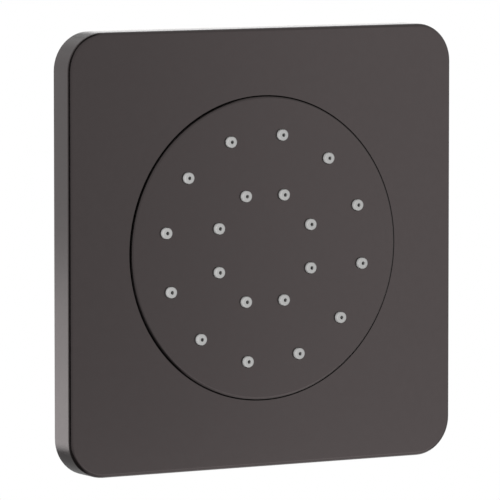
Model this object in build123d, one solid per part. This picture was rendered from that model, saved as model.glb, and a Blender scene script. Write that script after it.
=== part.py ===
from build123d import *

import os
from math import cos, hypot, radians, sin, sqrt

# Flush wall-mounted body spray: a square trim plate round a spray face that aims on a ball joint.
# Millimetres. The wall surface is the plane y = 0, the shower side is -Y, +X is to the right as
# seen from the shower and +Z is up. The origin is the middle of the mounting flange's back face.
# Depths count back from a front face, and reaches count forward from the ball's centre.

# Trim plate
PLATE_SIDE = 115.0
PLATE_DEPTH = 8.3
PLATE_CORNER_R = 10.0
PLATE_EDGE_R = 1.0
PLATE_SKIN = 2.2
PLATE_WALL = 2.5
LIP_WALL = 1.2
LIP_BACK_GAP = 0.3

# Spray face
FACE_MARGIN = 17.95
FACE_PROUD = 0.6
FACE_EDGE_R = 0.75
FACE_SKIN = 1.8
FACE_RIM_WALL = 3.2
SWIVEL_GAP = 0.2
AIM_CONE_DEG = 14.6

# Nozzles, with angles clockwise from the top as seen from the shower
OUTER_RING_INSET = 9.6
OUTER_RING_COUNT = 12
OUTER_RING_START = 10.0
RING_STEP = 15.0
INNER_RING_COUNT = 8
INNER_RING_START = 22.5
NOZZLE_R = 1.47
NOZZLE_PROUD = 1.0
NOZZLE_EDGE_R = 0.35
NOZZLE_THROAT_R = 0.5
NOZZLE_THROAT = 1.2
NOZZLE_ENTRY_R = 1.0
NOZZLE_HOLE_GAP = 0.12
MAT_T = 1.4
MAT_GAP = 0.2

# Water chamber behind the face
NOZZLE_PLATE_T = 2.0
FLOW_HOLE_R = 1.2
CHAMBER_DEPTH = 2.8
CHAMBER_WALL = 2.9
BACK_T = 3.0
BACK_EDGE_GAP = 0.4
BACK_RIB_COUNT = 6
BACK_RIB_T = 1.6
BACK_RIB_H = 1.5
PASSAGE_R = 8.0
SPIGOT_GAP = 0.1

# Screws that hold the face to the chamber back
FACE_SCREW_COUNT = 6
FACE_SCREW_R = 0.95
FACE_SCREW_HEAD_R = 2.1
FACE_SCREW_HEAD_H = 1.6
FACE_SCREW_SOCKET_R = 1.0
FACE_SCREW_SOCKET = 1.0
FACE_SCREW_BITE = 3.4
FACE_SCREW_INSET = 2.5
SCREW_HOLE_GAP = 0.35
SCREW_THREAD_GAP = 0.05

# Ball joint
BALL_R = 10.0
WATERWAY_R = 4.0
NECK_R = 5.8
NECK_REACH = 12.5
STUD_HEX = 15.0
STUD_HEX_T = 5.0
STUD_TAIL_R = 7.0
STUD_TAIL = 9.5
BALL_GAP = 0.05
LINER_T = 1.2
LINER_FRONT = -0.8
LINER_BACK = -4.6
SEAT_WALL = 3.2
SEAT_FRONT = 8.0
SEAT_BACK = 2.6
SEAT_MOUTH_R = 7.0
SEAT_GAP = 0.05
SEAL_ANGLE_DEG = 62.0
SEAT_RING_FRONT = 5.2
COLLAR_WALL = 2.4
COLLAR_FLOOR = 1.05
NUT_WALL = 3.0
NUT_FRONT_GAP = 1.0
NUT_BACK = -6.2
NUT_NOTCH_COUNT = 8
NUT_NOTCH_R = 1.8

# Rubber rings and hexagons
RING_SECTION_R = 0.8
RING_GAP = 0.03
HEX_CORNER = 1.13
HEX_CHAMFER = 1.2

# Wall housing
FLANGE_GAP = 3.0
FLANGE_T = 2.6
CUP_GAP = 0.7
CUP_WALL = 2.0
CUP_FLOOR_R = 21.0
CUP_FLOOR_T = 2.4
CUP_HOLE_GAP = 0.2
CUP_RIB_COUNT = 8
CUP_RIB_T = 2.0
CUP_RIB_H = 5.0
GASKET_INSET = 1.0
GASKET_W = 2.4
GASKET_T = 1.0
WALL_SCREW_INSET = 7.5
WALL_SCREW_HOLE_R = 2.3
WALL_SCREW_PAD_R = 5.0
WALL_SCREW_PAD = 0.8
LUG_X = 28.0
LUG_W = 9.0
LUG_DROP = 7.0
LUG_FRONT_GAP = 0.6
LUG_HOLE = 4.0

# Pins and set screws that hold the trim plate on the flange's lugs
PIN_R = 1.4
PIN_BITE = 2.5
PIN_HOLE_GAP = 0.2
SET_SCREW_R = 1.45
SET_SCREW_RECESS = 0.5
SET_SCREW_SOCKET_R = 0.8
SET_SCREW_SOCKET = 1.6

# Inlet, with a half-inch taper pipe thread drawn as a plain bore at its pitch radius
INLET_THREAD_R = 9.886
INLET_THREAD = 15.0
INLET_WALL = 4.6
INLET_CHAMFER = 1.0
SPIGOT_R = 12.0
SPIGOT_PROUD = 1.0
LOCK_NUT_WALL = 3.0
LOCK_NUT_T = 5.5
CONNECTOR_SHOULDER = 3.0
CONNECTOR_HEX_T = 9.0
WASHER_T = 2.0
THREAD_GAP = 0.05
POCKET_R = 8.6
POCKET_START = 1.0
REGULATOR_T = 3.4
REGULATOR_POST_R = 2.6
REGULATOR_CHANNEL_R = 4.4
REGULATOR_SLOT_COUNT = 6
REGULATOR_SLOT_R = 0.9
SCREEN_T = 1.6
SCREEN_MESH_T = 0.6
SCREEN_RIM = 1.4
SCREEN_HOLE_R = 0.7
SCREEN_PITCH = 2.4
POCKET_GAP = 0.1

# Sizes and places that follow from those above
FACE_R = PLATE_SIDE / 2 - FACE_MARGIN
FACE_BORE_R = FACE_R - FACE_RIM_WALL
OUTER_RING_R = FACE_R - OUTER_RING_INSET
INNER_RING_R = OUTER_RING_R - RING_STEP
FACE_Y = -(PLATE_DEPTH + FACE_PROUD)
MAT_Y = FACE_Y + FACE_SKIN
NOZZLE_PLATE_Y = MAT_Y + MAT_T
CHAMBER_Y = NOZZLE_PLATE_Y + NOZZLE_PLATE_T
BACK_Y = CHAMBER_Y + CHAMBER_DEPTH
BACK_REAR_Y = BACK_Y + BACK_T
PIVOT_Y = BACK_Y + COLLAR_FLOOR + SEAT_GAP + SEAT_FRONT
RIM_R = hypot(FACE_R, PIVOT_Y - FACE_Y)
OPENING_R = RIM_R + SWIVEL_GAP
MAT_R = FACE_BORE_R - MAT_GAP
FACE_SCREW_RING_R = FACE_BORE_R + FACE_SCREW_INSET
SEAT_R = BALL_R + SEAT_WALL
COLLAR_BORE_R = SEAT_R + SEAT_GAP
COLLAR_R = COLLAR_BORE_R + COLLAR_WALL
LINER_R = BALL_R + BALL_GAP + LINER_T
SOCKET_R = LINER_R + BALL_GAP
NUT_R = COLLAR_R + NUT_WALL
NUT_Y = BACK_REAR_Y + NUT_FRONT_GAP
PLATE_INNER = PLATE_SIDE - 2 * PLATE_WALL
FLANGE_SIDE = PLATE_INNER - 2 * FLANGE_GAP
FLANGE_CORNER_R = PLATE_CORNER_R - PLATE_WALL - FLANGE_GAP
WALL_SCREW_SPACING = FLANGE_SIDE - 2 * WALL_SCREW_INSET
LUG_Y = -(PLATE_DEPTH - PLATE_SKIN - LUG_FRONT_GAP)
LUG_HOLE_Y = (LUG_Y - GASKET_T) / 2
LOCK_NUT_HEX = 2 * (SPIGOT_R + LOCK_NUT_WALL)
CONNECTOR_HEX = 2 * (SPIGOT_R + CONNECTOR_SHOULDER)
STUD_HEX_Y = PIVOT_Y + NECK_REACH
CONNECTOR_Y = STUD_HEX_Y + STUD_HEX_T
LOCK_NUT_Y = CONNECTOR_Y + SPIGOT_PROUD
CUP_FLOOR_Y = LOCK_NUT_Y + LOCK_NUT_T
WASHER_Y = CUP_FLOOR_Y + CUP_FLOOR_T
CONNECTOR_HEX_Y = WASHER_Y + WASHER_T
POCKET_Y = CONNECTOR_Y + STUD_TAIL + POCKET_START
SCREEN_Y = POCKET_Y + REGULATOR_T
INLET_Y = SCREEN_Y + SCREEN_T
INLET_END_Y = INLET_Y + INLET_THREAD


def radius_at(ball_radius, reach):
    """Radius of a sphere about the ball's centre, in the plane that far in front of it."""
    return sqrt(ball_radius**2 - reach**2)


LIP_END_Y = -LIP_BACK_GAP
LIP_R = radius_at(OPENING_R, PIVOT_Y - LIP_END_Y) + LIP_WALL
CUP_R = LIP_R + CUP_GAP
CUP_TAPER_Y = PIVOT_Y + RIM_R * sin(radians(AIM_CONE_DEG))


def along_y(shape, y):
    """Stands a shape drawn on the XY plane, with +Z its depth, on the plane at y, going back."""
    return Pos(0, y, 0) * Rot(-90, 0, 0) * shape


def disc(radius, y_front, y_back):
    """Solid cylinder on the Y axis."""
    bottom = (Align.CENTER, Align.CENTER, Align.MIN)
    return along_y(Cylinder(radius, y_back - y_front, align=bottom), y_front)


def tube(inner_r, outer_r, y_front, y_back):
    """Hollow cylinder on the Y axis."""
    return along_y(extrude(Circle(outer_r) - Circle(inner_r), y_back - y_front), y_front)


def rounded_block(side, corner_r, y_front, y_back):
    """Square block with rounded corners, square to the Y axis."""
    return along_y(extrude(RectangleRounded(side, side, corner_r), y_back - y_front), y_front)


def hex_block(across_flats, y_front, y_back):
    """Hexagonal block on the Y axis, its corners turned round and chamfered at both ends."""
    hexagon = RegularPolygon(across_flats / 2, 6, major_radius=False, rotation=30)
    turning = disc(HEX_CORNER * across_flats / 2, y_front, y_back)
    turning = chamfer(turning.edges().filter_by(GeomType.CIRCLE), HEX_CHAMFER, HEX_CHAMFER / 2)
    return along_y(extrude(hexagon, y_back - y_front), y_front) & turning


def ball(radius):
    """Solid sphere about the ball's centre, with its seam's poles on the Y axis."""
    return Pos(0, PIVOT_Y, 0) * Rot(-90, 0, 0) * Sphere(radius)


def ring(centre_r, y):
    """Rubber ring of round section about the Y axis."""
    return along_y(Torus(centre_r, RING_SECTION_R), y)


def groove(centre_r, y):
    """Square-sided groove that just clears such a ring."""
    reach = RING_SECTION_R + RING_GAP
    return tube(centre_r - reach, centre_r + reach, y - reach, y + reach)


def turned(*outline):
    """Solid of revolution about the Y axis from a closed outline of (radius, y) points."""
    return revolve(make_face(Polyline(*outline, close=True).edges()), Axis.Y)


def circle_places(radius, count, start_deg=0.0):
    """(x, z) places on a circle, clockwise from the top as seen from the shower."""
    turns = [radians(start_deg + 360 * i / count) for i in range(count)]
    return [(radius * sin(t), radius * cos(t)) for t in turns]


def at_places(shape, places):
    """Copies of a shape moved to each (x, z) place."""
    return [Pos(x, 0, z) * shape for x, z in places]


def front_edges(shape):
    """Edges that lie in the shape's foremost plane."""
    return shape.edges().group_by(Axis.Y)[0]


NOZZLE_PLACES = circle_places(OUTER_RING_R, OUTER_RING_COUNT, OUTER_RING_START) + circle_places(
    INNER_RING_R, INNER_RING_COUNT, INNER_RING_START
)
FACE_SCREW_PLACES = circle_places(FACE_SCREW_RING_R, FACE_SCREW_COUNT)


def lug_places(side):
    """(x, z) middles of the two lugs' outer ends at the flange's top (side 1) or bottom (side -1)."""
    return [(x, side * FLANGE_SIDE / 2) for x in (-LUG_X, LUG_X)]


def trim_plate():
    """Square cast cover: a thin front with a spherical opening, and pins that hang it on the lugs."""
    plate = rounded_block(PLATE_SIDE, PLATE_CORNER_R, -PLATE_DEPTH, 0)
    plate = fillet(front_edges(plate), PLATE_EDGE_R)
    skin_y = -PLATE_DEPTH + PLATE_SKIN
    plate -= rounded_block(PLATE_INNER, PLATE_CORNER_R - PLATE_WALL, skin_y, 0)
    plate += disc(LIP_R, skin_y, LIP_END_Y)
    plate -= ball(OPENING_R)

    pin_length = FLANGE_GAP + PIN_BITE
    pin = Cylinder(PIN_R, pin_length + PLATE_WALL / 2, align=(Align.CENTER, Align.CENTER, Align.MIN))
    for x, z in lug_places(1):
        plate += Pos(x, LUG_HOLE_Y, z - PIN_BITE) * pin
    thread_r = SET_SCREW_R + SCREW_THREAD_GAP
    tapped = Cylinder(thread_r, 2 * (FLANGE_GAP + PLATE_WALL))
    for x, z in lug_places(-1):
        plate -= Pos(x, LUG_HOLE_Y, z - FLANGE_GAP) * tapped
    return plate


def set_screws():
    """Two socket set screws through the plate's bottom wall into the lower lugs."""
    length = PLATE_WALL - SET_SCREW_RECESS + FLANGE_GAP + PIN_BITE
    screw = Cylinder(SET_SCREW_R, length, align=(Align.CENTER, Align.CENTER, Align.MAX))
    screw = chamfer(screw.edges().group_by(Axis.Z)[-1], SET_SCREW_R / 2)
    socket = extrude(RegularPolygon(SET_SCREW_SOCKET_R, 6), SET_SCREW_SOCKET)
    screw -= Pos(0, 0, -length) * socket
    return [Pos(x, LUG_HOLE_Y, z + PIN_BITE) * screw for x, z in lug_places(-1)]


def housing():
    """Moulded wall box: a square flange, a tapered cup that the spray head swings in, and lugs."""
    flange = rounded_block(FLANGE_SIDE, FLANGE_CORNER_R, -FLANGE_T, 0)
    for side in (1, -1):
        for x, z in lug_places(side):
            middle = (x, (LUG_Y - FLANGE_T) / 2, z - side * LUG_DROP / 2)
            flange += Pos(*middle) * Box(LUG_W, -FLANGE_T - LUG_Y, LUG_DROP)

    cup_outer_r = CUP_R + CUP_WALL
    floor_outer_r = CUP_FLOOR_R + CUP_WALL
    box = flange + turned(
        (0, -FLANGE_T),
        (cup_outer_r, -FLANGE_T),
        (cup_outer_r, CUP_TAPER_Y + CUP_WALL / 2),
        (floor_outer_r, WASHER_Y),
        (0, WASHER_Y),
    )
    rib_outline = Polyline(
        (cup_outer_r, CUP_TAPER_Y),
        (cup_outer_r, CUP_TAPER_Y + CUP_RIB_H),
        (floor_outer_r + CUP_RIB_H, WASHER_Y),
        (CUP_FLOOR_R, WASHER_Y),
        close=True,
    )
    rib = extrude(make_face(rib_outline.edges()), CUP_RIB_T / 2, both=True)
    for i in range(CUP_RIB_COUNT):
        box += Rot(0, 360 * (i + 0.5) / CUP_RIB_COUNT, 0) * rib
    box -= turned(
        (0, LUG_Y),
        (CUP_R, LUG_Y),
        (CUP_R, CUP_TAPER_Y),
        (CUP_FLOOR_R, CUP_FLOOR_Y),
        (0, CUP_FLOOR_Y),
    )
    box -= disc(SPIGOT_R + CUP_HOLE_GAP, CUP_FLOOR_Y, WASHER_Y)
    box -= gasket_ring(0)
    half = WALL_SCREW_SPACING / 2
    corners = [(x, z) for x in (-half, half) for z in (-half, half)]
    pad_y = -FLANGE_T - WALL_SCREW_PAD
    box += at_places(disc(WALL_SCREW_PAD_R, pad_y, -FLANGE_T), corners)
    box -= at_places(disc(WALL_SCREW_HOLE_R, pad_y, 0), corners)
    hole = Cylinder(PIN_R + PIN_HOLE_GAP, 2 * LUG_HOLE)
    for side in (1, -1):
        box -= [Pos(x, LUG_HOLE_Y, z) * hole for x, z in lug_places(side)]
    return box


def gasket_ring(gap):
    """Square ring of foam cord in the flange's back, smaller than its groove by the gap."""
    outer = FLANGE_SIDE - 2 * (GASKET_INSET + gap)
    inner = FLANGE_SIDE - 2 * (GASKET_INSET + GASKET_W - gap)
    corner = FLANGE_CORNER_R - GASKET_INSET
    cord = RectangleRounded(outer, outer, corner) - RectangleRounded(inner, inner, corner / 2)
    return along_y(extrude(cord, GASKET_T - gap), gap - GASKET_T)


def wall_gasket():
    """Foam cord that seals the flange to the wall."""
    return gasket_ring(RING_GAP)


def inlet_connector():
    """Turned brass inlet: pipe socket behind, hexagon, and a threaded spigot through the cup's floor."""
    body = disc(SPIGOT_R, CONNECTOR_Y, CONNECTOR_HEX_Y)
    body += hex_block(CONNECTOR_HEX, CONNECTOR_HEX_Y, CONNECTOR_HEX_Y + CONNECTOR_HEX_T)
    socket = disc(INLET_THREAD_R + INLET_WALL, CONNECTOR_HEX_Y, INLET_END_Y)
    body += chamfer(socket.edges().group_by(Axis.Y)[-1], INLET_CHAMFER)
    body -= disc(STUD_TAIL_R + THREAD_GAP, CONNECTOR_Y, POCKET_Y)
    body -= disc(POCKET_R, POCKET_Y, INLET_Y)
    body -= disc(INLET_THREAD_R, INLET_Y, INLET_END_Y)
    body -= disc(STUD_TAIL_R + 2 * (RING_SECTION_R + RING_GAP), CONNECTOR_Y, stud_ring_y(1))
    return body


def stud_ring_y(share):
    """y of the stud ring's groove, from its front (share 0) to its back (share 1)."""
    return CONNECTOR_Y + share * 2 * (RING_SECTION_R + RING_GAP)


def stud_o_ring():
    """Rubber ring round the stud's tail, in the connector's front face."""
    return ring(STUD_TAIL_R + RING_SECTION_R + RING_GAP, stud_ring_y(0.5))


def housing_washer():
    """Flat rubber washer between the cup's floor and the connector's hexagon."""
    return tube(SPIGOT_R + THREAD_GAP, CONNECTOR_HEX / 2, WASHER_Y, CONNECTOR_HEX_Y)


def lock_nut():
    """Hexagon nut on the spigot that clamps the cup's floor."""
    nut = hex_block(LOCK_NUT_HEX, LOCK_NUT_Y, CUP_FLOOR_Y)
    return nut - disc(SPIGOT_R + THREAD_GAP, LOCK_NUT_Y, CUP_FLOOR_Y)


def ball_stud():
    """Hollow brass ball on a neck, with a hexagon and a threaded tail."""
    stud = ball(BALL_R)
    stud += disc(NECK_R, PIVOT_Y, STUD_HEX_Y)
    stud += hex_block(STUD_HEX, STUD_HEX_Y, CONNECTOR_Y)
    stud += disc(STUD_TAIL_R, CONNECTOR_Y, CONNECTOR_Y + STUD_TAIL)
    return stud - disc(WATERWAY_R, PIVOT_Y - BALL_R, CONNECTOR_Y + STUD_TAIL)


def regulator_ring_y():
    """y of the flexible ring's middle, in the channel on the regulator's inlet side."""
    return SCREEN_Y - RING_SECTION_R - RING_GAP


def flow_regulator():
    """Moulded flow limiter: a disc with a post, a channel for the flexible ring, and slots."""
    body = disc(POCKET_R - POCKET_GAP, POCKET_Y, SCREEN_Y)
    body -= groove(REGULATOR_CHANNEL_R, regulator_ring_y())
    channel_y = SCREEN_Y - 2 * (RING_SECTION_R + RING_GAP)
    slots = circle_places(REGULATOR_CHANNEL_R, REGULATOR_SLOT_COUNT)
    body -= at_places(disc(REGULATOR_SLOT_R, POCKET_Y, channel_y), slots)
    body -= disc(REGULATOR_POST_R / 2, POCKET_Y, POCKET_Y + REGULATOR_T / 2)
    return body


def regulator_ring():
    """Flexible ring that throttles the regulator's slots as the pressure rises."""
    return ring(REGULATOR_CHANNEL_R, regulator_ring_y())


def inlet_screen():
    """Round strainer: a rim with a perforated sheet across it."""
    rim_r = POCKET_R - POCKET_GAP
    screen = tube(rim_r - SCREEN_RIM, rim_r, SCREEN_Y, INLET_Y)
    screen += disc(rim_r - SCREEN_RIM / 2, SCREEN_Y, SCREEN_Y + SCREEN_MESH_T)
    rows = [(0.0, 0.0)]
    reach = rim_r - SCREEN_RIM - SCREEN_HOLE_R
    for row in range(1, int(reach / SCREEN_PITCH) + 1):
        rows += circle_places(row * SCREEN_PITCH, 6 * row)
    return screen - at_places(disc(SCREEN_HOLE_R, SCREEN_Y, INLET_Y), rows)


def swivel_liner():
    """Acetal liner: the part of a spherical shell that lies behind the ball's widest section."""
    shell = ball(LINER_R) - ball(BALL_R + BALL_GAP)
    return shell & disc(SOCKET_R, PIVOT_Y - LINER_FRONT, PIVOT_Y - LINER_BACK)


def ball_ring_place():
    """(radius, y) of the ring that runs on the ball, at an angle from the ball's axis."""
    reach = BALL_R + RING_GAP + RING_SECTION_R
    angle = radians(SEAL_ANGLE_DEG)
    return reach * sin(angle), PIVOT_Y - reach * cos(angle)


def seat_ring_place():
    """(radius, y) of the ring between the seat and the collar's bore."""
    return COLLAR_BORE_R - RING_GAP - RING_SECTION_R, PIVOT_Y - SEAT_RING_FRONT


def chamber_ring_place():
    """(radius, y) of the ring round the chamber back's spigot."""
    return FACE_BORE_R - RING_GAP - RING_SECTION_R, CHAMBER_Y + CHAMBER_DEPTH / 2


def ball_seal():
    """Rubber ring that runs on the ball."""
    return ring(*ball_ring_place())


def seat_o_ring():
    """Rubber ring that seals the seat to the collar's bore."""
    return ring(*seat_ring_place())


def ball_seat():
    """Acetal seat in front of the ball, with a groove for each of its two rings."""
    seat = tube(SEAT_MOUTH_R, SEAT_R, PIVOT_Y - SEAT_FRONT, PIVOT_Y - SEAT_BACK)
    seat -= ball(BALL_R + BALL_GAP)
    return seat - groove(*ball_ring_place()) - groove(*seat_ring_place())


def spray_face():
    """Round finished face: flat front with nozzle holes, and a rim that is a zone of a sphere."""
    face = ball(RIM_R) & disc(RIM_R, FACE_Y, BACK_Y)
    face = fillet(front_edges(face), FACE_EDGE_R)
    face -= disc(FACE_BORE_R, MAT_Y, BACK_Y)
    face -= at_places(disc(NOZZLE_R + NOZZLE_HOLE_GAP, FACE_Y, MAT_Y), NOZZLE_PLACES)
    bite = disc(FACE_SCREW_R + SCREW_THREAD_GAP, BACK_Y - FACE_SCREW_BITE - SCREW_HOLE_GAP, BACK_Y)
    return face - at_places(bite, FACE_SCREW_PLACES)


def nozzle():
    """One rubber nozzle on the Y axis, from the mat's back to its rounded tip, with its bore."""
    tip_y = FACE_Y - NOZZLE_PROUD
    stem = disc(NOZZLE_R, tip_y, MAT_Y + MAT_T / 2)
    return fillet(front_edges(stem), NOZZLE_EDGE_R)


def nozzle_bore():
    """Water passage through one nozzle: a cone that ends in a short straight throat."""
    tip_y = FACE_Y - NOZZLE_PROUD
    return turned(
        (0, tip_y),
        (NOZZLE_THROAT_R, tip_y),
        (NOZZLE_THROAT_R, tip_y + NOZZLE_THROAT),
        (NOZZLE_ENTRY_R, NOZZLE_PLATE_Y),
        (0, NOZZLE_PLATE_Y),
    )


def nozzle_mat():
    """Soft rubber mat with all the nozzles moulded on it."""
    mat = disc(MAT_R, MAT_Y, NOZZLE_PLATE_Y)
    mat += at_places(nozzle(), NOZZLE_PLACES)
    return mat - at_places(nozzle_bore(), NOZZLE_PLACES)


def nozzle_plate():
    """Stiff plate that backs the mat, with a flow hole behind each nozzle."""
    plate = disc(MAT_R, NOZZLE_PLATE_Y, CHAMBER_Y)
    return plate - at_places(disc(FLOW_HOLE_R, NOZZLE_PLATE_Y, CHAMBER_Y), NOZZLE_PLACES)


def chamber_seal():
    """Rubber ring that seals the chamber back's spigot to the face's bore."""
    return ring(*chamber_ring_place())


def chamber_back():
    """Moulded back of the water chamber, with a spigot in front and the ball's collar behind."""
    edge_r = radius_at(RIM_R, PIVOT_Y - BACK_Y) - BACK_EDGE_GAP
    spigot_r = FACE_BORE_R - SPIGOT_GAP
    back = disc(edge_r, BACK_Y, BACK_REAR_Y)
    back += tube(spigot_r - CHAMBER_WALL, spigot_r, CHAMBER_Y, BACK_Y)
    back -= groove(*chamber_ring_place())
    back += disc(COLLAR_R, BACK_Y, PIVOT_Y)
    rib_inner = NUT_R + BACK_RIB_T
    rib_length = FACE_BORE_R - rib_inner
    rib = Box(rib_length, BACK_RIB_H, BACK_RIB_T, align=(Align.MIN, Align.MIN, Align.CENTER))
    for i in range(BACK_RIB_COUNT):
        back += Rot(0, 360 * i / BACK_RIB_COUNT, 0) * Pos(rib_inner, BACK_REAR_Y, 0) * rib
    back -= disc(COLLAR_BORE_R, PIVOT_Y - SEAT_FRONT - SEAT_GAP, PIVOT_Y)
    back -= disc(PASSAGE_R, BACK_Y, PIVOT_Y)
    clear = disc(FACE_SCREW_R + SCREW_HOLE_GAP, BACK_Y, BACK_REAR_Y)
    return back - at_places(clear, FACE_SCREW_PLACES)


def face_screws():
    """Socket-head screws from the chamber back into the face's rim."""
    shank = disc(FACE_SCREW_R, BACK_Y - FACE_SCREW_BITE, BACK_REAR_Y)
    head = disc(FACE_SCREW_HEAD_R, BACK_REAR_Y, BACK_REAR_Y + FACE_SCREW_HEAD_H)
    socket = extrude(RegularPolygon(FACE_SCREW_SOCKET_R, 6), FACE_SCREW_SOCKET)
    head -= along_y(socket, BACK_REAR_Y + FACE_SCREW_HEAD_H - FACE_SCREW_SOCKET)
    return at_places(shank + head, FACE_SCREW_PLACES)


def swivel_nut():
    """Collar nut that holds the ball and its liner in the collar, notched for a pin spanner."""
    nut = disc(NUT_R, NUT_Y, PIVOT_Y - NUT_BACK)
    nut = chamfer(nut.edges().group_by(Axis.Y)[-1], NUT_WALL / 3)
    nut -= disc(COLLAR_R + THREAD_GAP, NUT_Y, PIVOT_Y)
    nut -= ball(SOCKET_R)
    notch = disc(NUT_NOTCH_R, NUT_Y, PIVOT_Y - NUT_BACK)
    return nut - at_places(notch, circle_places(NUT_R, NUT_NOTCH_COUNT))


PIECES = (
    trim_plate,
    set_screws,
    housing,
    wall_gasket,
    inlet_connector,
    housing_washer,
    lock_nut,
    ball_stud,
    stud_o_ring,
    flow_regulator,
    regulator_ring,
    inlet_screen,
    swivel_liner,
    ball_seat,
    ball_seal,
    seat_o_ring,
    spray_face,
    nozzle_mat,
    nozzle_plate,
    chamber_seal,
    chamber_back,
    face_screws,
    swivel_nut,
)


def main():
    os.makedirs("parts", exist_ok=True)
    for piece in PIECES:
        made = piece()
        if isinstance(made, list):
            made = Compound(made)
        export_step(made, f"parts/{piece.__name__}.step")


main()
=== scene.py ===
from math import cos, pi, radians, sin

import bmesh
import bpy
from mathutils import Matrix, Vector

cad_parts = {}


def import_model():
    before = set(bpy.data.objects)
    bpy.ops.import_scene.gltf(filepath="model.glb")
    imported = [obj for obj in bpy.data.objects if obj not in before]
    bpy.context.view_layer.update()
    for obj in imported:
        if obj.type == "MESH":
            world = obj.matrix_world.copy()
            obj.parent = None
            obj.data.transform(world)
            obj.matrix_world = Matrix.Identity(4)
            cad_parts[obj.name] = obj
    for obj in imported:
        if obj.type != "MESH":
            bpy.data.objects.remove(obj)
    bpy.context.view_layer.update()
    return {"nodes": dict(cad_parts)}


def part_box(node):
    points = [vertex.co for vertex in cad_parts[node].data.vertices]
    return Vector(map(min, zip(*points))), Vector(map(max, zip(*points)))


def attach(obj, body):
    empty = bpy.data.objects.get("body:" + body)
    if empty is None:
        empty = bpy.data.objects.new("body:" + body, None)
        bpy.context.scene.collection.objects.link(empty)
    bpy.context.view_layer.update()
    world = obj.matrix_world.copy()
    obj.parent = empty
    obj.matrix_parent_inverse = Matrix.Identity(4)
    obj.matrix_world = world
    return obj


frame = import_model()

MM = 0.001

# Camera: the photograph's view, from the front's left and a little above
CAMERA_AZIMUTH = radians(30.03)
CAMERA_ELEVATION = radians(5.07)
CAMERA_DISTANCE = 1.472
CAMERA_TARGET = Vector((0.70, 0.0, -1.16)) * MM
CAMERA_LENS = 403.6
CAMERA_SENSOR = 36.0
CAMERA_REACH = 50.0

# Inlet's taper pipe thread, 14 turns to the inch, in the bore that stands at its pitch radius.
# Its profile gives places along the axis in pitches, and shares of the thread's depth.
BORE_R = 9.886 * MM
THREAD_PITCH = 25.4 / 14 * MM
THREAD_LENGTH = 13.0 * MM
THREAD_INSET = 1.6 * MM
THREAD_DEPTH = 0.6 * MM
THREAD_TAPER = 1 / 32
THREAD_ROOT = 0.04 * MM
THREAD_STEPS = 64
THREAD_PROFILE = ((-0.48, 0.0), (-0.07, 1.0), (0.07, 1.0), (0.48, 0.0))
THREAD_TURNS = THREAD_LENGTH / THREAD_PITCH

# Studio, in metres
FLOOR_Z = -0.25
FLOOR_R = 1.2
FLOOR_FADE = 0.35
FLOOR_SIDES = 96
FLOOR_GREY = (0.9, 0.9, 0.9)
BACKGROUND = (1.0, 1.0, 1.0, 1.0)
AMBIENT = 0.75
DARK_CARD = 0.1

# Finishes, linear colour
BRONZE = (0.0548, 0.047, 0.047)
SILICONE = (0.43, 0.43, 0.425)
HOUSING_BLACK = (0.030, 0.030, 0.032)
BRASS = (0.60, 0.43, 0.17)
STEEL = (0.55, 0.55, 0.54)
ACETAL = (0.72, 0.71, 0.67)
CHAMBER_GREY = (0.16, 0.16, 0.17)
REGULATOR_GREEN = (0.06, 0.24, 0.12)
RUBBER_BLACK = (0.02, 0.02, 0.02)
FOAM_GREY = (0.05, 0.05, 0.05)

# Surface detail
MOULDED_EDGE_R = 0.35 * MM
MACHINED_EDGE_R = 0.25 * MM
EDGE_SAMPLES = 6
GLOSS_DIP = 0.06
GLOSS_RISE = 0.08
TOOL_MARK_SCALE = 900.0
TOOL_MARK_WANDER = 1.5


def new_material(name, colour, metallic=0.0, roughness=0.5):
    """A principled material of one colour, for the functions below to work on."""
    material = bpy.data.materials.new(name)
    material.use_nodes = True
    shader = material.node_tree.nodes["Principled BSDF"]
    shader.inputs["Base Color"].default_value = (*colour, 1.0)
    shader.inputs["Metallic"].default_value = metallic
    shader.inputs["Roughness"].default_value = roughness
    return material


def noise(material, scale, detail=3.0):
    """A noise texture in the object's own metres."""
    nodes, links = material.node_tree.nodes, material.node_tree.links
    place = nodes.get("Texture Coordinate") or nodes.new("ShaderNodeTexCoord")
    texture = nodes.new("ShaderNodeTexNoise")
    texture.inputs["Scale"].default_value = scale
    texture.inputs["Detail"].default_value = detail
    links.new(place.outputs["Object"], texture.inputs["Vector"])
    return texture.outputs["Fac"]


def spread(material, source, low, high):
    """Maps a 0 to 1 signal on to a range."""
    node = material.node_tree.nodes.new("ShaderNodeMapRange")
    node.inputs["To Min"].default_value = low
    node.inputs["To Max"].default_value = high
    material.node_tree.links.new(source, node.inputs["Value"])
    return node.outputs["Result"]


def vary_roughness(material, scale, low, high):
    """Uneven gloss."""
    shader = material.node_tree.nodes["Principled BSDF"]
    signal = spread(material, noise(material, scale), low, high)
    material.node_tree.links.new(signal, shader.inputs["Roughness"])


def vary_colour(material, scale, colour, amount):
    """Uneven colour, a little lighter and darker than the given one."""
    nodes, links = material.node_tree.nodes, material.node_tree.links
    mix = nodes.new("ShaderNodeMix")
    mix.data_type = "RGBA"
    mix.inputs["A"].default_value = (*[c * (1 - amount) for c in colour], 1.0)
    mix.inputs["B"].default_value = (*[c * (1 + amount) for c in colour], 1.0)
    links.new(noise(material, scale), mix.inputs["Factor"])
    links.new(mix.outputs["Result"], nodes["Principled BSDF"].inputs["Base Color"])


def bump(material, signal, height, strength):
    """Relief of that height, in metres, from a signal."""
    nodes, links = material.node_tree.nodes, material.node_tree.links
    node = nodes.new("ShaderNodeBump")
    node.inputs["Distance"].default_value = height
    node.inputs["Strength"].default_value = strength
    links.new(signal, node.inputs["Height"])
    links.new(node.outputs["Normal"], nodes["Principled BSDF"].inputs["Normal"])


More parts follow.
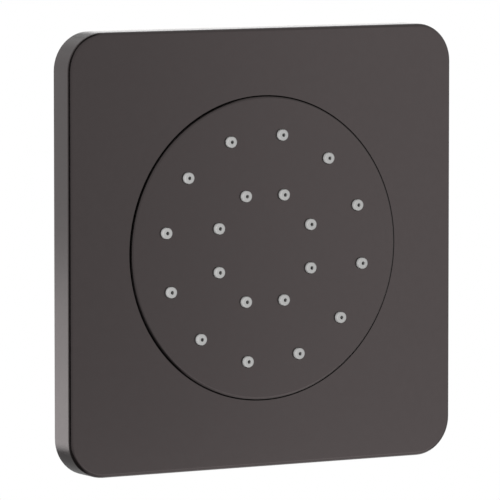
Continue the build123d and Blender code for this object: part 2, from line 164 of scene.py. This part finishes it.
def soften_edges(material, radius):
    """Shades sharp edges as if they had that small rounding, under the material's relief."""
    nodes, links = material.node_tree.nodes, material.node_tree.links
    rounding = nodes.new("ShaderNodeBevel")
    rounding.samples = EDGE_SAMPLES
    rounding.inputs["Radius"].default_value = radius
    links.new(rounding.outputs["Normal"], nodes["Bump"].inputs["Normal"])


def bronze():
    """Satin dark bronze coating on cast metal, with a fine blasted grain."""
    material = new_material("satin_bronze", BRONZE, metallic=1.0, roughness=0.24)
    vary_colour(material, scale=900.0, colour=BRONZE, amount=0.05)
    vary_roughness(material, scale=350.0, low=0.22, high=0.27)
    bump(material, noise(material, scale=5200.0, detail=2.0), height=0.02 * MM, strength=0.25)
    return material


def silicone():
    """Soft light grey rubber."""
    material = new_material("grey_silicone", SILICONE, roughness=0.48)
    vary_colour(material, scale=600.0, colour=SILICONE, amount=0.04)
    bump(material, noise(material, scale=3000.0, detail=2.0), height=0.02 * MM, strength=0.2)
    return material


def moulded(name, colour, roughness, grain):
    """Moulded plastic with a fine spark-eroded grain."""
    material = new_material(name, colour, roughness=roughness)
    vary_colour(material, scale=220.0, colour=colour, amount=0.06)
    vary_roughness(material, scale=500.0, low=roughness - GLOSS_DIP, high=roughness + GLOSS_RISE)
    bump(material, noise(material, grain), height=0.04 * MM, strength=0.35)
    soften_edges(material, MOULDED_EDGE_R)
    return material


def marks(material, kind):
    """Fine lines about the Y axis: BANDS along it, or RINGS on a face square to it."""
    nodes, links = material.node_tree.nodes, material.node_tree.links
    wave = nodes.new("ShaderNodeTexWave")
    wave.wave_type = kind
    wave.bands_direction = "Y"
    wave.rings_direction = "Y"
    wave.inputs["Scale"].default_value = TOOL_MARK_SCALE
    wave.inputs["Distortion"].default_value = TOOL_MARK_WANDER
    links.new(nodes["Texture Coordinate"].outputs["Object"], wave.inputs["Vector"])
    return wave.outputs["Fac"]


def turning_marks(material):
    """A lathe tool's marks: rings on end faces, and bands on what is turned round the Y axis."""
    nodes, links = material.node_tree.nodes, material.node_tree.links
    split = nodes.new("ShaderNodeSeparateXYZ")
    links.new(nodes["Texture Coordinate"].outputs["Normal"], split.inputs["Vector"])
    square = nodes.new("ShaderNodeMath")
    square.operation = "ABSOLUTE"
    links.new(split.outputs["Y"], square.inputs[0])
    mix = nodes.new("ShaderNodeMix")
    links.new(square.outputs["Value"], mix.inputs["Factor"])
    links.new(marks(material, "BANDS"), mix.inputs["A"])
    links.new(marks(material, "RINGS"), mix.inputs["B"])
    return mix.outputs["Result"]


def machined(name, colour, roughness):
    """Turned metal, with fine tool marks round the Y axis."""
    material = new_material(name, colour, metallic=1.0, roughness=roughness)
    vary_colour(material, scale=160.0, colour=colour, amount=0.08)
    vary_roughness(material, scale=420.0, low=roughness - GLOSS_DIP, high=roughness + GLOSS_RISE)
    bump(material, turning_marks(material), height=0.01 * MM, strength=0.3)
    soften_edges(material, MACHINED_EDGE_R)
    return material


def rubber():
    """Matte black seal rubber."""
    material = new_material("seal_rubber", RUBBER_BLACK, roughness=0.7)
    vary_colour(material, scale=500.0, colour=RUBBER_BLACK, amount=0.15)
    bump(material, noise(material, scale=2500.0), height=0.03 * MM, strength=0.4)
    return material


def foam():
    """Closed-cell foam cord."""
    material = new_material("foam", FOAM_GREY, roughness=0.85)
    vary_colour(material, scale=1500.0, colour=FOAM_GREY, amount=0.3)
    bump(material, noise(material, scale=2200.0, detail=4.0), height=0.15 * MM, strength=0.7)
    return material


def thread_row(mesh, mouth, turn):
    """The thread's profile that many turns in from the bore's mouth, shallow at either end."""
    angle = 2 * pi * turn
    middle = mouth - THREAD_INSET - turn * THREAD_PITCH
    full = min(1.0, turn, THREAD_TURNS - turn)
    depth = full * (THREAD_DEPTH + THREAD_TAPER * (mouth - middle))
    row = []
    for y, share in THREAD_PROFILE:
        radius = BORE_R + THREAD_ROOT - share * (THREAD_ROOT + depth)
        place = (radius * cos(angle), middle + y * THREAD_PITCH, radius * sin(angle))
        row.append(mesh.verts.new(place))
    return row


def inlet_thread(material):
    """The taper pipe thread's helical ridge in the inlet's bore, a closed mesh."""
    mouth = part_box("inlet_connector")[1][1]
    steps = int(THREAD_TURNS * THREAD_STEPS)
    mesh = bmesh.new()
    rows = [thread_row(mesh, mouth, i / THREAD_STEPS) for i in range(steps + 1)]
    for near, far in zip(rows, rows[1:]):
        for j in range(len(near)):
            k = (j + 1) % len(near)
            mesh.faces.new((near[j], near[k], far[k], far[j]))
    mesh.faces.new(rows[0])
    mesh.faces.new(rows[-1])
    bmesh.ops.recalc_face_normals(mesh, faces=mesh.faces)
    piece = bpy.data.objects.new("inlet_thread", bpy.data.meshes.new("inlet_thread"))
    mesh.to_mesh(piece.data)
    mesh.free()
    bpy.context.scene.collection.objects.link(piece)
    piece.data.materials.append(material)
    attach(piece, "wall_unit")


def dress():
    """Gives every CAD node its material, seal rubber where no other is named, and adds the thread."""
    seal = rubber()
    satin = bronze()
    brass = machined("turned_brass", BRASS, roughness=0.3)
    steel = machined("bright_steel", STEEL, roughness=0.32)
    acetal = moulded("acetal", ACETAL, roughness=0.4, grain=2500.0)
    grey = moulded("chamber_plastic", CHAMBER_GREY, roughness=0.5, grain=2500.0)
    looks = {
        "trim_plate": satin,
        "spray_face": satin,
        "nozzle_mat": silicone(),
        "housing": moulded("housing_plastic", HOUSING_BLACK, roughness=0.52, grain=1800.0),
        "wall_gasket": foam(),
        "set_screws": steel,
        "face_screws": steel,
        "inlet_screen": steel,
        "inlet_connector": brass,
        "lock_nut": brass,
        "ball_stud": brass,
        "swivel_nut": brass,
        "swivel_liner": acetal,
        "ball_seat": acetal,
        "nozzle_plate": grey,
        "chamber_back": grey,
        "flow_regulator": moulded("regulator_plastic", REGULATOR_GREEN, roughness=0.35, grain=2500.0),
    }
    for name, node in frame["nodes"].items():
        node.data.materials.clear()
        node.data.materials.append(looks.get(name, seal))
    inlet_thread(brass)


def world():
    """White surroundings to the camera and in reflections, and softer light on matte surfaces."""
    studio = bpy.data.worlds.new("studio")
    bpy.context.scene.world = studio
    studio.use_nodes = True
    nodes, links = studio.node_tree.nodes, studio.node_tree.links
    shader = nodes["Background"]
    shader.inputs["Color"].default_value = BACKGROUND
    path = nodes.new("ShaderNodeLightPath")
    seen = path.outputs["Is Camera Ray"]
    for kind in ("Is Glossy Ray", "Is Transmission Ray"):
        either = nodes.new("ShaderNodeMath")
        either.operation = "MAXIMUM"
        links.new(seen, either.inputs[0])
        links.new(path.outputs[kind], either.inputs[1])
        seen = either.outputs[0]
    strength = nodes.new("ShaderNodeMapRange")
    strength.inputs["To Min"].default_value = AMBIENT
    strength.inputs["To Max"].default_value = 1.0
    links.new(seen, strength.inputs["Value"])
    links.new(strength.outputs["Result"], shader.inputs["Strength"])


def floor_fade(material):
    """Signal that is 0 on the floor's middle, and 1 at its edge and all over its underside."""
    nodes, links = material.node_tree.nodes, material.node_tree.links
    geometry = nodes.new("ShaderNodeNewGeometry")
    reach = nodes.new("ShaderNodeVectorMath")
    reach.operation = "LENGTH"
    links.new(geometry.outputs["Position"], reach.inputs[0])
    fade = nodes.new("ShaderNodeMapRange")
    fade.interpolation_type = "SMOOTHSTEP"
    fade.inputs["From Min"].default_value = FLOOR_FADE
    fade.inputs["From Max"].default_value = FLOOR_R
    links.new(reach.outputs["Value"], fade.inputs["Value"])
    hidden = nodes.new("ShaderNodeMath")
    hidden.operation = "MAXIMUM"
    links.new(geometry.outputs["Backfacing"], hidden.inputs[0])
    links.new(fade.outputs["Result"], hidden.inputs[1])
    return hidden.outputs["Value"]


def pale_floor():
    """Matte pale floor that turns clear where it fades out."""
    material = new_material("pale_floor", FLOOR_GREY, roughness=0.9)
    nodes, links = material.node_tree.nodes, material.node_tree.links
    shader = nodes["Principled BSDF"]
    shader.inputs["Specular IOR Level"].default_value = 0.0
    clear = nodes.new("ShaderNodeBsdfTransparent")
    mix = nodes.new("ShaderNodeMixShader")
    links.new(floor_fade(material), mix.inputs["Fac"])
    links.new(shader.outputs["BSDF"], mix.inputs[1])
    links.new(clear.outputs["BSDF"], mix.inputs[2])
    links.new(mix.outputs["Shader"], nodes["Material Output"].inputs["Surface"])
    return material


def floor():
    """Round floor below the object, seen only from above."""
    bpy.ops.mesh.primitive_circle_add(
        vertices=FLOOR_SIDES, radius=FLOOR_R, fill_type="NGON", location=(0, 0, FLOOR_Z)
    )
    plane = bpy.context.object
    plane.name = "floor"
    plane.data.materials.append(pale_floor())


def facing(place, aim, axis):
    """Turn that points an object's axis from its place to an aim."""
    return (Vector(aim) - Vector(place)).to_track_quat(axis, "Y").to_euler()


def flag(name, place, aim, width, height, shade):
    """A card of a grey shade that only reflections show, so that an edge reads dark."""
    bpy.ops.mesh.primitive_plane_add(size=1.0)
    card = bpy.context.object
    card.name = name
    card.scale = (width, height, 1.0)
    card.location = place
    card.rotation_euler = facing(place, aim, "Z")
    card.data.materials.append(new_material(name, (shade, shade, shade), roughness=1.0))
    card.visible_camera = False
    card.visible_diffuse = False
    card.visible_transmission = False
    card.visible_shadow = False


def soft_box(name, place, aim, width, height, radiance, glossy=True):
    """A rectangular soft light of that radiance, for reflections alone or for matte surfaces alone."""
    data = bpy.data.lights.new(name, "AREA")
    data.shape = "RECTANGLE"
    data.size = width
    data.size_y = height
    data.energy = radiance * pi * width * height
    lamp = bpy.data.objects.new(name, data)
    lamp.location = place
    lamp.rotation_euler = facing(place, aim, "-Z")
    lamp.visible_camera = False
    lamp.visible_glossy = glossy
    lamp.visible_diffuse = not glossy
    bpy.context.scene.collection.objects.link(lamp)


def dark_edges():
    """Cards for the dark line along the plate's front edge, and the shade in its corners and back."""
    flag("left_flag", place=(-0.474, -0.159, 0.29), aim=(0.0, 0.0, 0.29),
         width=0.5, height=0.92, shade=DARK_CARD)
    flag("high_flag", place=(-0.17, -0.1, 0.45), aim=(-0.17, -0.1, 0.0),
         width=0.56, height=0.4, shade=DARK_CARD)
    flag("low_flag", place=(-0.425, -0.05, -0.24), aim=(-0.425, -0.05, 0.0),
         width=0.75, height=0.6, shade=DARK_CARD)
    flag("back_flag", place=(-0.1, 0.5, -0.24), aim=(-0.1, 0.5, 0.0),
         width=0.7, height=0.5, shade=0.42)
    flag("corner_flag", place=(0.15, 0.5, 0.25), aim=(0.15, 0.0, 0.25),
         width=0.24, height=0.16, shade=0.62)


def left_side_lamps():
    """The light band on the plate's left side, brighter towards its foot."""
    soft_box("left_box", place=(-0.2, 0.255, -0.0893), aim=(-0.2, 0.0, -0.0893),
             width=0.2, height=0.1135, radiance=1.3)
    soft_box("left_low_box", place=(-0.2, 0.254, -0.106), aim=(-0.2, 0.0, -0.106),
             width=0.2, height=0.08, radiance=0.65)
    soft_box("rim_box", place=(-0.35, 0.45, 0.05), aim=(0.0, 0.0, 0.05),
             width=0.5, height=0.5, radiance=0.2)


def front_lamps():
    """The face's soft rise to the right and to its foot, and the light on its top and underside."""
    soft_box("right_box", place=(0.34, -0.338, 0.0), aim=(0.0, 0.0, 0.0),
             width=0.3, height=0.5, radiance=0.6)
    soft_box("low_box", place=(0.125, -0.224, -0.158), aim=(0.0, 0.0, -0.06),
             width=0.22, height=0.09, radiance=1.1)
    soft_box("under_box", place=(0.14, 0.0, -0.22), aim=(0.14, 0.0, 0.0),
             width=0.22, height=0.4, radiance=0.7)
    soft_box("top_box", place=(0.3, 0.52, 0.11), aim=(0.0, 0.0, 0.06),
             width=0.4, height=0.2, radiance=0.8)


def fill_lamp():
    """Light from the left on the nozzles and other matte surfaces."""
    soft_box("fill", place=(-0.6, -0.13, 0.1), aim=(0.0, 0.0, 0.0),
             width=0.4, height=0.4, radiance=6.0, glossy=False)


def camera():
    """The photograph's camera."""
    data = bpy.data.cameras.new("camera")
    data.lens = CAMERA_LENS
    data.sensor_width = CAMERA_SENSOR
    data.clip_end = CAMERA_REACH
    view = Vector((
        -sin(CAMERA_AZIMUTH) * cos(CAMERA_ELEVATION),
        -cos(CAMERA_AZIMUTH) * cos(CAMERA_ELEVATION),
        sin(CAMERA_ELEVATION),
    ))
    shot = bpy.data.objects.new("camera", data)
    shot.location = CAMERA_TARGET + view * CAMERA_DISTANCE
    shot.rotation_euler = view.to_track_quat("Z", "Y").to_euler()
    bpy.context.scene.collection.objects.link(shot)
    bpy.context.scene.camera = shot


bpy.context.scene.view_settings.view_transform = "Standard"
dress()
world()
floor()
camera()
dark_edges()
left_side_lamps()
front_lamps()
fill_lamp()
